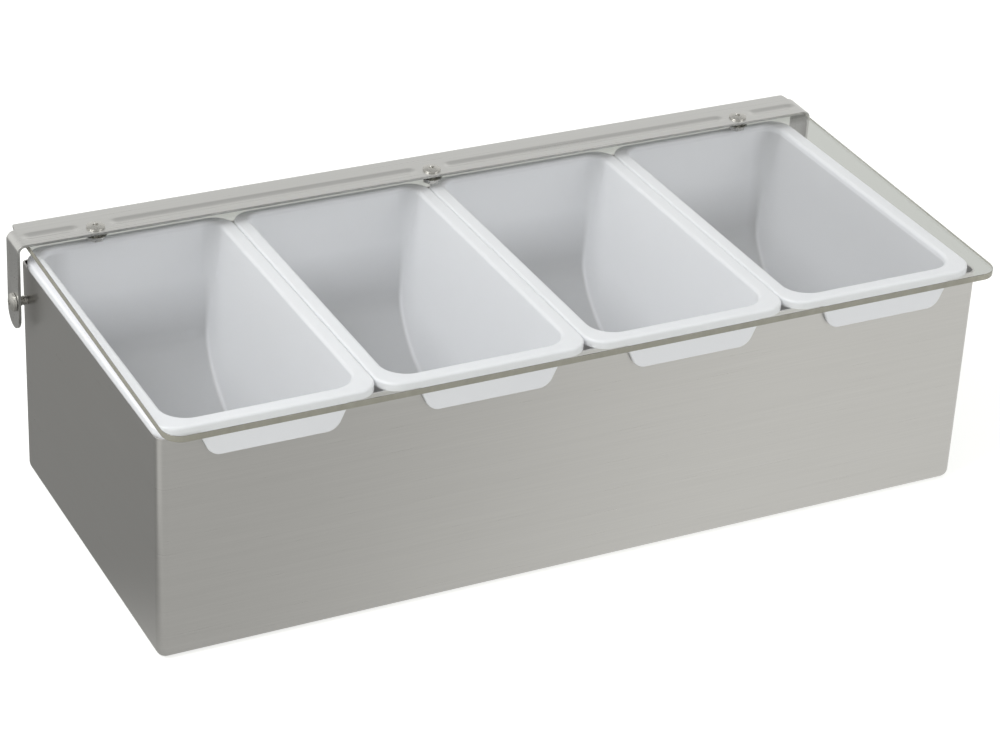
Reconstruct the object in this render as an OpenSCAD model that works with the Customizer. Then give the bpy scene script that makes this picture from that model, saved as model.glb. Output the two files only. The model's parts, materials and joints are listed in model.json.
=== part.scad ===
// Condiment caddy: an open steel box that holds four scoop-shaped pans under one clear flip-up cover.
// The cover hangs on a pressed steel bracket, whose two arms turn on screws in the side walls.
// Frame: +X along the box, -Y towards the user, +Z up, origin on the table under the middle of the box.
// Lengths in millimetres, angles in degrees.

/* [Box] */
// Outside length of the steel box
box_length = 311; // [250:1:420]
// Outside depth of the steel box, front to back
box_depth = 133; // [110:1:180]
// Height of the steel box up to its cut top edge
box_height = 84.5; // [70:0.5:120]
// Thickness of the box's sheet
box_sheet = 0.8; // [0.6:0.1:1.5]
// Outside radius of the front upright corners and of the bottom edge
box_corner_r = 3.5; // [2:0.5:6]
// Outside radius of the back upright corners
box_back_corner_r = 2; // [1:0.25:2]

/* [Pans] */
// Number of pans side by side
pan_count = 4; // [4:1:4]
// Gap between the rims of two neighbouring pans
pan_gap = 0.2; // [0.1:0.1:1]
// How far the row of pans stops short of the box's right side
pan_row_slack = 2.6; // [1:0.1:6]
// Thickness of a pan's rim
rim_thickness = 3; // [2:0.25:4]
// Width of the flat rim around a pan's mouth
rim_width = 5.5; // [5:0.25:8]
// Radius of the rim's corners, seen from above
rim_corner_r = 8; // [4:0.5:12]
// Rounding of the rim's top edge
rim_edge_r = 1; // [0.4:0.1:1.4]
// How far the rim stands out in front of the box's front wall
rim_overhang = 1.9; // [1.5:0.1:4]
// Wall thickness of a pan
pan_wall = 1.8; // [1.2:0.1:2.5]
// Height of a pan's inside floor above the table
pan_floor_z = 19.5; // [10:0.5:30]
// Lean of a pan's side and front walls
pan_draft = 5; // [1:0.5:6]
// Lean of a pan's back wall
pan_back_draft = 1.5; // [0.5:0.5:4]
// Radius of a pan's upright inside corners
pan_corner_r = 9; // [5:0.5:12]
// Radius of the curved ramp at the back of a pan
scoop_r = 51; // [40:1:54]
// Distance from the back of a pan's mouth to where its ramp meets the floor
ramp_reach = 41.5; // [36:0.5:50]
// Small radius where the ramp meets a pan's side walls
crease_r = 2.5; // [1.5:0.5:4]
// Radius that blends the ramp into the back wall
knee_r = 15; // [6:0.5:24]
// Radius where the floor meets a pan's front wall
toe_r = 6; // [3:0.5:8]

/* [Pan tab] */
// Width of the tab where it leaves the rim
tab_top_width = 50; // [30:1:60]
// Width between the centres of the tab's lower corners
tab_low_width = 30; // [15:1:40]
// How far the tab hangs below the top of the box's wall
tab_drop = 8.5; // [6:0.5:15]
// Radius of the tab's lower corners
tab_corner_r = 5; // [2:0.5:6]
// Gap between the tab and the front wall
tab_gap = 0.3; // [0.2:0.1:1]

/* [Cover] */
// Thickness of the clear cover
cover_thickness = 2.4; // [1.5:0.1:4]
// How much longer the clear cover is than the box
cover_extra = 2.6; // [0:0.2:2.8]
// Sideways seat of the cover on its bracket
cover_offset = 1.7; // [0:0.1:1.8]
// How far the cover reaches past the front of the rims
cover_overhang = 6.2; // [3:0.2:15]
// How far the cover reaches back past the middle line of the arms
cover_back_reach = 8.5; // [6:0.5:9]
// Radius of the cover's corners
cover_corner_r = 6.5; // [3:0.5:12]
// Space between rims and cover above the pivots, which the nuts need
cover_lift = 3.7; // [3.2:0.1:6]

/* [Hinge bracket] */
// Thickness of the bracket's sheet
bracket_sheet = 1; // [0.8:0.1:1.5]
// Gap between a side wall and the arm beside it
arm_gap = 3.3; // [3.2:0.1:5]
// Width of an arm, front to back
arm_width = 12; // [10:0.2:16]
// Distance from a pivot down to the centre of the arm's round end
arm_tail = 5; // [0:0.5:7]
// Outside radius of the bracket's bends
bend_r = 3; // [2:0.25:5]
// Distance from the pivots back to the middle line of the arms
arm_setback = 2; // [0:0.1:3]
// How far the top plate reaches back past the arms
plate_extra = 5.5; // [3:0.25:8]
// Depth of the turned-down back edge, from the plate's top
hem_depth = 4; // [3.5:0.25:5]
// Outside radius of the turned-down back edge
hem_r = 2; // [1.5:0.25:3]
// Width of the beads pressed along the plate
bead_width = 5; // [4:0.25:7]
// Depth of the beads
bead_depth = 0.6; // [0.4:0.05:0.8]
// Distance from a cover screw to the end of the bead beside it
bead_setback = 6; // [5:0.5:10]

/* [Pivots] */
// Distance from the pivots to the box's back wall
pivot_inset = 4.8; // [4.8:0.1:8]
// Distance from the pivots down from the top of the box's walls
pivot_drop = 13.2; // [12:0.2:16]

/* [Screws] */
// Diameter of the screws
screw_d = 3.5; // [3:0.1:4]
// Clearance around a screw in its hole, on the radius
screw_play = 0.06; // [0.03:0.01:0.1]
// Diameter of the screw heads
head_d = 6.6; // [6:0.1:8]
// Height of the pivot screws' heads
pivot_head_height = 2.2; // [1.6:0.1:3]
// Height of the cover screws' low heads
cover_head_height = 1.1; // [0.9:0.1:2.2]
// Distance from the outer cover screws to the outsides of the side walls
cover_screw_inset = 25.8; // [18:0.1:40]
// How far the cover screws stand in front of the middle line of the arms
cover_screw_forward = 1.6; // [0:0.1:2]
// Width across the flats of the nuts
nut_flats = 5.5; // [5.3:0.1:5.5]
// Thickness of the low nuts
nut_height = 1.8; // [1.6:0.1:2]
// Diameter of the washers
washer_d = 8; // [7:0.1:9]
// Thickness of the washers
washer_height = 0.4; // [0.3:0.1:0.5]
// Side play between an arm and the head of its pivot screw
head_play = 0.15; // [0.1:0.05:0.5]
// How far a screw's end stands out of its nut
screw_end = 0.1; // [0:0.05:0.2]

/* [Hidden] */
$fn = 48;
eps = 0.01;
contact = 0.05; // running gap where the closed cover rests on the rims

// Pans: the row starts flush with the outside of the left wall.
rim_z = box_height;
rim_top = rim_z + rim_thickness;
pan_row_left = -box_length / 2;
pan_pitch = (box_length - pan_row_slack + pan_gap) / pan_count;
pan_length = pan_pitch - pan_gap;
rim_front = -box_depth / 2 - rim_overhang;
rim_back = box_depth / 2;
mouth_half = pan_length / 2 - rim_width;
mouth_front = rim_front + rim_width;
mouth_back = rim_back - rim_width;
front_foot = mouth_front + (rim_top - pan_floor_z) * tan(pan_draft);

// Scoop: the ramp's arc is centred above the floor. From ramp_angle on, the knee's arc carries it
// round until it meets the back wall.
scoop_z = pan_floor_z + scoop_r;
scoop_y = mouth_back - ramp_reach;
ramp_room = (back_wall_y(scoop_z) - scoop_y) * cos(pan_back_draft) - knee_r;
ramp_angle = asin(ramp_room / (scoop_r - knee_r)) - pan_back_draft;
ramp_steps = 7;
knee_y = scoop_y + (scoop_r - knee_r) * sin(ramp_angle);
knee_z = scoop_z - (scoop_r - knee_r) * cos(ramp_angle);
knee_steps = 4;

// Pivots and what turns on them. Heights in the cover's own frame are measured from the pivots.
pivot_y = box_depth / 2 - pivot_inset;
pivot_z = box_height - pivot_drop;
cover_low = rim_top - pivot_z + cover_lift;
cover_top = cover_low + cover_thickness;
plate_low = cover_top + bead_depth;
plate_top = plate_low + bracket_sheet;
front_reach = pivot_y + arm_setback - rim_front + cover_overhang;
cover_length = box_length + cover_extra;
arm_face = box_length / 2 + arm_gap;
bracket_half = arm_face + bracket_sheet;
inner_face = box_length / 2 - box_sheet;
plate_front = -arm_width / 2;
plate_back = arm_width / 2 + plate_extra;
// Angle at which the cover's underside comes down onto the front of the rims.
rest_tilt = asin((cover_low - contact) / norm([rim_top - pivot_z, pivot_y - rim_front]))
    - atan2(rim_top - pivot_z, pivot_y - rim_front);

// Beads: circular arcs of this radius, centred above the plate.
bead_r = (pow(bead_width / 2, 2) + pow(bead_depth, 2)) / (2 * bead_depth);
bead_z = plate_top + bead_r - bead_depth;
bead_outer_end = arm_face - bend_r - 1;
cover_screw_pitch = box_length / 2 - cover_screw_inset;
cover_screw_x = [-cover_screw_pitch, 0, cover_screw_pitch];

// ---------- Shared shapes ----------

// Rectangle centred on the origin with true round corners, the back ones with a radius of their own.
module rounded_rect(size, r, back_r) {
    translate([-size[0] / 2, r - size[1] / 2])
        square([size[0], size[1] - r - back_r]);
    translate([r - size[0] / 2, -size[1] / 2])
        square([size[0] - 2 * r, size[1] / 2]);
    translate([back_r - size[0] / 2, 0])
        square([size[0] - 2 * back_r, size[1] / 2]);
    for (x = [-1, 1]) {
        translate([x * (size[0] / 2 - r), r - size[1] / 2])
            circle(r);
        translate([x * (size[0] / 2 - back_r), size[1] / 2 - back_r])
            circle(back_r);
    }
}

// Upright side view of the box, with its lower corners rounded.
module box_outline(width, height, r) {
    translate([-width / 2, r])
        square([width, height - r]);
    translate([-width / 2 + r, 0])
        square([width - 2 * r, r]);
    for (x = [-1, 1])
        translate([x * (width / 2 - r), r])
            circle(r);
}

// Block whose upright corners and bottom edges are rounded, with its foot at z = 0.
module box_block(length, depth, height, r, back_r) {
    intersection() {
        linear_extrude(height)
            rounded_rect([length, depth], r, back_r);
        translate([0, depth / 2, 0])
            rotate([90, 0, 0])
                linear_extrude(depth)
                    box_outline(length, height, r);
        translate([-length / 2, 0, 0])
            rotate([90, 0, 90])
                linear_extrude(length)
                    box_outline(depth, height, r);
    }
}

// Places its children in the cover's frame: above the pivots, tipped down onto the rims.
// There y is 0 on the middle line of the arms, and z is 0 at the pivots.
module on_pivots() {
    translate([0, pivot_y, pivot_z])
        rotate([rest_tilt, 0, 0])
            translate([0, arm_setback, 0])
                children();
}

// Screw along -Z with the underside of its domed head at z = 0.
// Half of the head's height is its upright edge and half its dome.
module domed_screw(head_height, shank_length) {
    dome_r = (pow(head_d / 2, 2) + pow(head_height / 2, 2)) / head_height;
    intersection() {
        cylinder(d = head_d, h = head_height);
        translate([0, 0, head_height - dome_r])
            sphere(dome_r, $fn = 64);
    }
    translate([0, 0, -shank_length])
        cylinder(d = screw_d, h = shank_length + eps);
}

// Flat washer from z = 0 downwards.
module washer() {
    translate([0, 0, -washer_height])
        difference() {
            cylinder(d = washer_d, h = washer_height);
            translate([0, 0, -1])
                cylinder(r = screw_d / 2 + screw_play, h = washer_height + 2);
        }
}

// Low hexagon nut from z = 0 downwards.
module nut() {
    translate([0, 0, -nut_height])
        difference() {
            cylinder(r = nut_flats / sqrt(3), h = nut_height, $fn = 6);
            translate([0, 0, -1])
                cylinder(r = screw_d / 2 + screw_play, h = nut_height + 2);
        }
}

// ---------- Box ----------

module body_shell() {
    color([0.62, 0.62, 0.60])
        difference() {
            box_block(box_length, box_depth, box_height, box_corner_r, box_back_corner_r);
            translate([0, 0, box_sheet])
                box_block(
                    box_length - 2 * box_sheet, box_depth - 2 * box_sheet,
                    box_height, box_corner_r - box_sheet, box_back_corner_r - box_sheet
                );
            translate([0, pivot_y, pivot_z])
                rotate([0, 90, 0])
                    cylinder(r = screw_d / 2 + screw_play, h = box_length + 2, center = true);
        }
}

// ---------- Pans ----------

function side_half(z) = mouth_half - (rim_top - z) * tan(pan_draft);
function back_wall_y(z) = mouth_back - (rim_top - z) * tan(pan_back_draft);

// Small ball in the crease beside an arc, at an angle from the arc's lowest point.
module crease_ball(side, arc_y, arc_z, arc_r, angle, wall) {
    y = arc_y + (arc_r - crease_r) * sin(angle);
    z = arc_z - (arc_r - crease_r) * cos(angle);
    translate([side * (side_half(z) - crease_r), y, z])
        sphere(crease_r + wall, $fn = 24);
}

// Hollow of a pan, grown by wall: drafted sides, soft upright corners and a curved ramp at the back.
module scoop(wall, top) {
    hull() {
        for (x = [-1, 1]) {
            translate([x * (mouth_half - pan_corner_r), mouth_front + pan_corner_r, rim_z])
                cylinder(r = pan_corner_r + wall, h = top - rim_z, $fn = 40);
            translate([x * (mouth_half - pan_corner_r), mouth_back - pan_corner_r, rim_z])
                cylinder(r = pan_corner_r + wall, h = top - rim_z, $fn = 40);
            translate([x * (side_half(knee_z) - pan_corner_r), back_wall_y(knee_z) - pan_corner_r, knee_z])
                cylinder(r = pan_corner_r + wall, h = eps, $fn = 40);
            translate([x * (side_half(pan_floor_z) - toe_r), front_foot + toe_r, pan_floor_z + toe_r])
                sphere(toe_r + wall, $fn = 32);
            for (i = [0:ramp_steps])
                crease_ball(x, scoop_y, scoop_z, scoop_r, ramp_angle * i / ramp_steps, wall);
            for (i = [1:knee_steps]) {
                angle = ramp_angle + (90 - pan_back_draft - ramp_angle) * i / (knee_steps + 0.5);
                crease_ball(x, knee_y, knee_z, knee_r, angle, wall);
            }
        }
    }
}

// Flat rim with its top edge rounded.
module rim() {
    translate([0, (rim_front + rim_back) / 2, rim_z])
        hull()
            for (x = [-1, 1], y = [-1, 1])
                translate([
                    x * (pan_length / 2 - rim_corner_r),
                    y * ((rim_back - rim_front) / 2 - rim_corner_r), 0
                ]) {
                    cylinder(r = rim_corner_r, h = rim_thickness - rim_edge_r, $fn = 48);
                    for (a = [30, 60, 90])
                        cylinder(
                            r = rim_corner_r - rim_edge_r * (1 - cos(a)),
                            h = rim_thickness - rim_edge_r * (1 - sin(a)), $fn = 48
                        );
                }
}

// Tab that hangs from the rim in front of the front wall.
module tab() {
    translate([0, -box_depth / 2 - tab_gap, rim_z])
        rotate([90, 0, 0])
            linear_extrude(rim_overhang - tab_gap)
                hull() {
                    translate([-tab_top_width / 2, 0])
                        square([tab_top_width, rim_thickness / 2]);
                    for (x = [-1, 1])
                        translate([x * tab_low_width / 2, tab_corner_r - tab_drop])
                            circle(tab_corner_r, $fn = 32);
                }
}

module insert(index) {
    color([0.95, 0.95, 0.96])
        translate([pan_row_left + pan_length / 2 + (index - 1) * pan_pitch, 0, 0])
            difference() {
                union() {
                    rim();
                    tab();
                    scoop(pan_wall, rim_z + eps);
                }
                scoop(0, rim_top + 1);
            }
}

// ---------- Cover ----------

module clear_cover() {
    depth = front_reach + cover_back_reach;
    color([0.85, 0.9, 0.9, 0.35])
        on_pivots()
            difference() {
                translate([cover_offset, (cover_back_reach - front_reach) / 2, cover_low])
                    linear_extrude(cover_thickness)
                        rounded_rect([cover_length, depth], cover_corner_r, cover_corner_r);
                for (x = cover_screw_x)
                    translate([x, -cover_screw_forward, cover_low - 1])
                        cylinder(r = screw_d / 2 + screw_play, h = cover_thickness + 2);
            }
}

// ---------- Hinge bracket ----------

// Front view of the bent strip: plate, bends and arms, down to the height given.
module bracket_outline(low) {
    difference() {
        translate([0, plate_top])
            mirror([0, 1])
                box_outline(2 * bracket_half, plate_top - low, bend_r);
        translate([0, plate_low])
            mirror([0, 1])
                box_outline(2 * arm_face, plate_top - low + 1, bend_r - bracket_sheet);
    }
}

// Side view of an arm: straight edges and a full round end.
module arm_outline() {
    translate([-arm_width / 2, -arm_tail])
        square([arm_width, plate_top + arm_tail + 1]);
    translate([0, -arm_tail])
        circle(d = arm_width);
}

// Side view of the plate, whose back edge turns down.
module plate_outline() {
    translate([plate_front, plate_low])
        square([plate_back - hem_r - plate_front, bracket_sheet]);
    translate([plate_back - bracket_sheet, plate_top - hem_depth])
        square([bracket_sheet, hem_depth - hem_r]);
    intersection() {
        translate([plate_back - hem_r, plate_top - hem_r])
            difference() {
                circle(hem_r);
                circle(hem_r - bracket_sheet);
            }
        translate([plate_back - hem_r, plate_top - hem_r])
            square(hem_r);
    }
}

// Both arms with their bends.
module arms() {
    low = -arm_tail - arm_width / 2;
    intersection() {
        translate([0, arm_width / 2, 0])
            rotate([90, 0, 0])
                linear_extrude(arm_width)
                    bracket_outline(low);
        translate([-bracket_half, 0, 0])
            rotate([90, 0, 90])
                linear_extrude(2 * bracket_half)
                    arm_outline();
    }
}

// Round-ended rod between two places along the plate, whose lower side shapes a bead.
module bead_rod(from, to, r) {
    for (x = [from, to])
        translate([x, 0, bead_z])
            sphere(r, $fn = 64);
    translate([from, 0, bead_z])
        rotate([0, 90, 0])
            cylinder(r = r, h = to - from, $fn = 64);
}

module beads(r) {
    for (side = [-1, 1]) {
        inner = side * (bead_setback + bead_width / 2);
        outer = side * (cover_screw_pitch - bead_setback - bead_width / 2);
        bead_rod(min(inner, outer), max(inner, outer), r);
        start = side * (cover_screw_pitch + bead_setback + bead_width / 2);
        end = side * (bead_outer_end - bead_width / 2);
        bead_rod(min(start, end), max(start, end), r);
    }
}

module hinge_bracket() {
    plate_half = bracket_half - bend_r;
    color([0.75, 0.76, 0.74])
        on_pivots()
            difference() {
                union() {
                    arms();
                    translate([-plate_half, 0, 0])
                        rotate([90, 0, 90])
                            linear_extrude(2 * plate_half)
                                plate_outline();
                    intersection() {
                        beads(bead_r + bracket_sheet);
                        translate([-arm_face, plate_front, plate_low - bead_depth])
                            cube([2 * arm_face, arm_width, bead_depth + bracket_sheet / 2]);
                    }
                }
                beads(bead_r);
                for (x = cover_screw_x)
                    translate([x, -cover_screw_forward, plate_low - 1])
                        cylinder(r = screw_d / 2 + screw_play, h = bracket_sheet + 2);
                translate([0, -arm_setback, 0])
                    rotate([0, 90, 0])
                        cylinder(r = screw_d / 2 + screw_play, h = 2 * bracket_half + 2, center = true);
            }
}

// ---------- Fasteners ----------

module cover_screw(x) {
    color([0.72, 0.71, 0.68])
        on_pivots()
            translate([x, -cover_screw_forward, plate_top])
                domed_screw(
                    cover_head_height,
                    plate_top - cover_low + washer_height + nut_height + screw_end);
}

module cover_washer(x) {
    color([0.72, 0.71, 0.68])
        on_pivots()
            translate([x, -cover_screw_forward, cover_low])
                washer();
}

module cover_nut(x) {
    color([0.72, 0.71, 0.68])
        on_pivots()
            translate([x, -cover_screw_forward, cover_low - washer_height])
                nut();
}

// Stands its children, drawn along -Z, on a side wall so that they point into the box.
// side is -1 for the left wall and 1 for the right one, and out is the distance from the middle.
module into_wall(side, out) {
    translate([side * out, pivot_y, pivot_z])
        rotate([0, side * 90, 0])
            children();
}

module pivot_screw(side) {
    out = bracket_half + head_play;
    color([0.55, 0.53, 0.5])
        into_wall(side, out)
            domed_screw(pivot_head_height, out - inner_face + nut_height + screw_end);
}

module pivot_nut(side) {
    color([0.72, 0.71, 0.68])
        into_wall(side, inner_face)
            nut();
}

body_shell();
insert(1);  // insert_1
insert(2);  // insert_2
insert(3);  // insert_3
insert(4);  // insert_4
hinge_bracket();
clear_cover();
cover_screw(cover_screw_x[0]);  // cover_screw_left
cover_screw(cover_screw_x[1]);  // cover_screw_middle
cover_screw(cover_screw_x[2]);  // cover_screw_right
cover_washer(cover_screw_x[0]);  // cover_washer_left
cover_washer(cover_screw_x[1]);  // cover_washer_middle
cover_washer(cover_screw_x[2]);  // cover_washer_right
cover_nut(cover_screw_x[0]);  // cover_nut_left
cover_nut(cover_screw_x[1]);  // cover_nut_middle
cover_nut(cover_screw_x[2]);  // cover_nut_right
pivot_screw(-1);  // pivot_screw_left
pivot_screw(1);  // pivot_screw_right
pivot_nut(-1);  // pivot_nut_left
pivot_nut(1);  // pivot_nut_right
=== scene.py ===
"""Visual model of a condiment caddy: a brushed steel box, four scoop pans and a clear flip-up cover."""

import json
import math

import bmesh
import bpy
from bpy.props import FloatProperty, FloatVectorProperty, PointerProperty
from mathutils import Matrix, Vector


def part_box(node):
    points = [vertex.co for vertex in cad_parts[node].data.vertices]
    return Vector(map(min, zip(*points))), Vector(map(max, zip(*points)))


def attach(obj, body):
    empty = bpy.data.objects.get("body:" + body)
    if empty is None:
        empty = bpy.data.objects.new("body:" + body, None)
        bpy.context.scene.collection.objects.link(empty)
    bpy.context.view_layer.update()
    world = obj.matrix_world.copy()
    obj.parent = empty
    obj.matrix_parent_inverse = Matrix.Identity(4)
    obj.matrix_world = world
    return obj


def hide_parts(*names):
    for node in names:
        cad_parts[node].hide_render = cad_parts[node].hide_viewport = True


bl_info = {
    "name": "Condiment caddy",
    "version": (1, 0, 0),
    "blender": (4, 5, 0),
    "location": "3D View > Sidebar > Caddy",
    "description": "Builds a steel condiment caddy with four scoop pans under a clear hinged cover",
    "category": "Add Mesh",
}

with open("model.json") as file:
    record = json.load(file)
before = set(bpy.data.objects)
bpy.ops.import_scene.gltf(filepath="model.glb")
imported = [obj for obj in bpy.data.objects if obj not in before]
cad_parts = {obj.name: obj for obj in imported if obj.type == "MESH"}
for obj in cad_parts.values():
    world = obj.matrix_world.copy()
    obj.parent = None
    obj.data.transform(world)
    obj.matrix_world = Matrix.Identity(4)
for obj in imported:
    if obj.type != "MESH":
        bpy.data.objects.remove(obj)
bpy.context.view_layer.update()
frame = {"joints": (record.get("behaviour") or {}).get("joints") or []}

SIDES = (-1, 1)
PAN_NODES = ("insert_1", "insert_2", "insert_3", "insert_4")
COVER_SCREWS = ("left", "middle", "right")
PLASTIC_IOR = 1.49
SLACK = 1e-6  # metres within which two coordinates count as the same
THIN = 1e-5  # metres of height of a disc that only marks a level
BEAD_CREST = 0.6  # below one, a bead's crest is broader than its feet
RECESS_TAPER = (0.45, 0.8, 1)  # a recess at its floor, as a share of its mouth
FACING_SIDEWAYS = (0.3, 0.9)  # where a wall begins to count as facing sideways, and where it does fully


# ---------- Settings ----------


def length(name, description, default):
    """A length in metres that a user can change."""
    return FloatProperty(name=name, description=description, default=default, min=0, unit="LENGTH", precision=5)


def angle(name, description, degrees):
    """An angle that a user can change."""
    return FloatProperty(name=name, description=description, default=math.radians(degrees), unit="ROTATION")


def level(name, description, default, unit="NONE"):
    """A strength, a power or a focal length that a user can change."""
    return FloatProperty(name=name, description=description, default=default, min=0, unit=unit)


def share(name, description, default):
    """A share of one that a user can change."""
    return FloatProperty(name=name, description=description, default=default, min=0, max=1, subtype="FACTOR")


def place(name, description, default):
    """A place in metres that a user can change."""
    return FloatVectorProperty(name=name, description=description, default=default, subtype="TRANSLATION")


def colour(name, description, default):
    """A colour that a user can change."""
    return FloatVectorProperty(
        name=name, description=description, default=default, size=3, min=0, max=1, subtype="COLOR"
    )


class BoxSettings(bpy.types.PropertyGroup):
    sheet: length("Sheet", "Thickness of the box's steel", 0.0008)
    corner: length("Corner radius", "Outside radius of the front corners and the bottom edge", 0.0035)
    back_corner: length("Back corner radius", "Outside radius of the back upright corners", 0.002)
    cut_edge: length("Cut edge", "Rounding of the sheet's cut top edge", 0.00012)
    steel: colour("Steel", "Colour of the brushed box", (0.565, 0.557, 0.542))


class PanSettings(bpy.types.PropertyGroup):
    wall: length("Wall", "Wall thickness of a pan", 0.0018)
    rim_width: length("Rim width", "Width of the flat rim around the mouth", 0.0055)
    rim_thickness: length("Rim thickness", "Thickness of the rim", 0.003)
    rim_corner: length("Rim corner", "Radius of the rim's corners from above", 0.008)
    rim_edge: length("Rim edge", "Rounding of the rim's outer top edge", 0.001)
    mouth_edge: length("Mouth edge", "Rounding of the rim's inner top edge", 0.0014)
    draft: angle("Side draft", "Lean of the side and front walls", 5.0)
    back_draft: angle("Back draft", "Lean of the back wall", 1.5)
    back_rim: length("Back rim", "Width of the rim behind the mouth, under the bracket", 0.0033)
    corner: length("Corner", "Radius of the upright inside corners at the front", 0.009)
    back_corner: length("Back corner", "Radius of the upright inside corners at the back", 0.006)
    scoop: length("Scoop", "Radius of the curved ramp", 0.051)
    ramp_reach: length("Ramp reach", "Distance from the back of the mouth to where the ramp meets the floor", 0.0437)
    knee: length("Knee", "Radius that blends the ramp into the back wall", 0.015)
    crease: length("Crease", "Small radius where the ramp meets the side walls", 0.0017)
    toe: length("Toe", "Radius where the floor meets the front wall", 0.006)
    tab_top: length("Tab top", "Width of the tab where it leaves the rim", 0.0522)
    tab_low: length("Tab bottom", "Width of the tab's lower edge before its corners are rounded", 0.0434)
    tab_shift: length("Tab shift", "How far the tab sits right of the pan's middle", 0.001)
    tab_drop: length("Tab drop", "How far the tab hangs below the rim", 0.0085)
    tab_thickness: length("Tab thickness", "Thickness of the tab", 0.0016)
    tab_corner: length("Tab corner", "How much is rounded off the tab's lower corners", 0.0032)
    plastic: colour("Plastic", "Colour of the pans", (0.84, 0.85, 0.878))
    # Painted shade: the pans' colour greys with depth below the rim, where less light reaches.
    shade: share("Shade", "How light the deep walls look, where the box shows through", 0.60)
    painted_shade_start: length("Shade start", "Depth below the rim at which the walls begin to grey", 0.018)
    painted_shade_depth: length("Shade depth", "Depth below the rim at which the walls are greyest", 0.042)
    divider_shade_share: share("Divider share", "Share of the greying that the walls between pans get", 0.0)
    # Painted shade: the row's two end walls are greyed, as they get less light than the walls between pans.
    end_painted_shade: share("End shade", "How light the row's two end walls look beside the box", 0.74)
    end_blend: length("End blend", "Distance in which an end wall's greying begins", 0.001)
    mottle: share("Mottle", "How light the darkest part of the faint mottle is", 0.985)
    see_in: share("See in", "How far light spreads in the plastic", 0.25)


class CoverSettings(bpy.types.PropertyGroup):
    thickness: length("Thickness", "Thickness of the clear cover", 0.0024)
    lift: length("Lift", "Space between rims and cover above the pivots", 0.0037)
    corner: length("Corner", "Radius of the cover's corners", 0.0065)
    edge: length("Edge", "Small bevel along the cover's cut edges", 0.00025)
    overhang: length("Overhang", "How far the cover reaches past the front of the rims", 0.0062)
    back_reach: length("Back reach", "How far the cover reaches back past the middle line of the arms", 0.0085)
    contact: length("Contact", "Gap where the closed cover rests on the rims", 0.00005)
    tint: colour("Tint", "Colour of the clear sheet", (0.96, 0.97, 0.96))
    edge_tint: colour("Edge tint", "Colour of the sheet's cut edges", (0.49, 0.475, 0.40))
    light_through: share("Light through", "Share of the light that each face of the sheet lets through", 0.985)
    edge_through: share("Edge through", "Share of the light that each cut edge lets through", 0.8)


class BracketSettings(bpy.types.PropertyGroup):
    sheet: length("Sheet", "Thickness of the bracket's steel", 0.001)
    bend: length("Bend", "Outside radius of the bends into the arms", 0.003)
    hem: length("Hem", "Outside radius of the turned-down back edge", 0.002)
    hem_depth: length("Hem depth", "Depth of the turned-down back edge", 0.004)
    arm_width: length("Arm width", "Width of an arm, front to back", 0.012)
    arm_tail: length("Arm tail", "Distance from a pivot down to the centre of the arm's round end", 0.005)
    setback: length("Setback", "Distance from the pivots back to the middle line of the arms", 0.002)
    screws_forward: length("Screws forward", "How far the screws stand in front of the arms' middle line", 0.0016)
    plate_extra: length("Plate extra", "How far the plate reaches back past the arms", 0.0055)
    bead_width: length("Bead width", "Width of the pressed beads", 0.005)
    bead_depth: length("Bead depth", "Depth of the pressed beads", 0.0006)
    bead_setback: length("Bead setback", "Distance from a screw to the bead beside it", 0.006)
    bead_margin: length("Bead margin", "Distance from a bend to the outermost bead's end", 0.001)
    cell_length: length("Cell length", "Length of a cell of the plate's grid, which the beads are pressed into", 0.0009)
    cell_width: length("Cell width", "Width of a cell of the plate's grid", 0.0003)
    end_corner: length("End corner", "How far the back edge's ends are rounded in", 0.0025)
    cut_edge: length("Cut edge", "Rounding of the sheet's cut edges", 0.00012)
    steel: colour("Steel", "Colour of the satin bracket", (0.68, 0.677, 0.662))
    cut_steel: colour("Cut steel", "Colour of the bracket's cut edges", (0.40, 0.40, 0.385))


class ScrewSettings(bpy.types.PropertyGroup):
    diameter: length("Screw", "Diameter of the screws", 0.0035)
    head: length("Head", "Diameter of the heads", 0.0066)
    pivot_head: length("Pivot head", "Height of the pivot screws' heads", 0.0022)
    cover_head: length("Cover head", "Height of the cover screws' low heads", 0.0011)
    thread: length("Thread", "Distance between two threads", 0.0008)
    thread_depth: length("Thread depth", "Depth of the threads", 0.0003)
    recess: length("Recess", "Length of the cross in a head", 0.0034)
    recess_width: length("Recess width", "Width of the cross's slots", 0.0008)
    recess_depth: length("Recess depth", "Depth of the cross", 0.0012)
    washer_height: length("Washer height", "Thickness of the washers", 0.0004)
    nut_bevel: length("Nut bevel", "Bevel of the nuts' corners", 0.0003)
    steel: colour("Steel", "Colour of the screws", (0.58, 0.57, 0.54))


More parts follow.
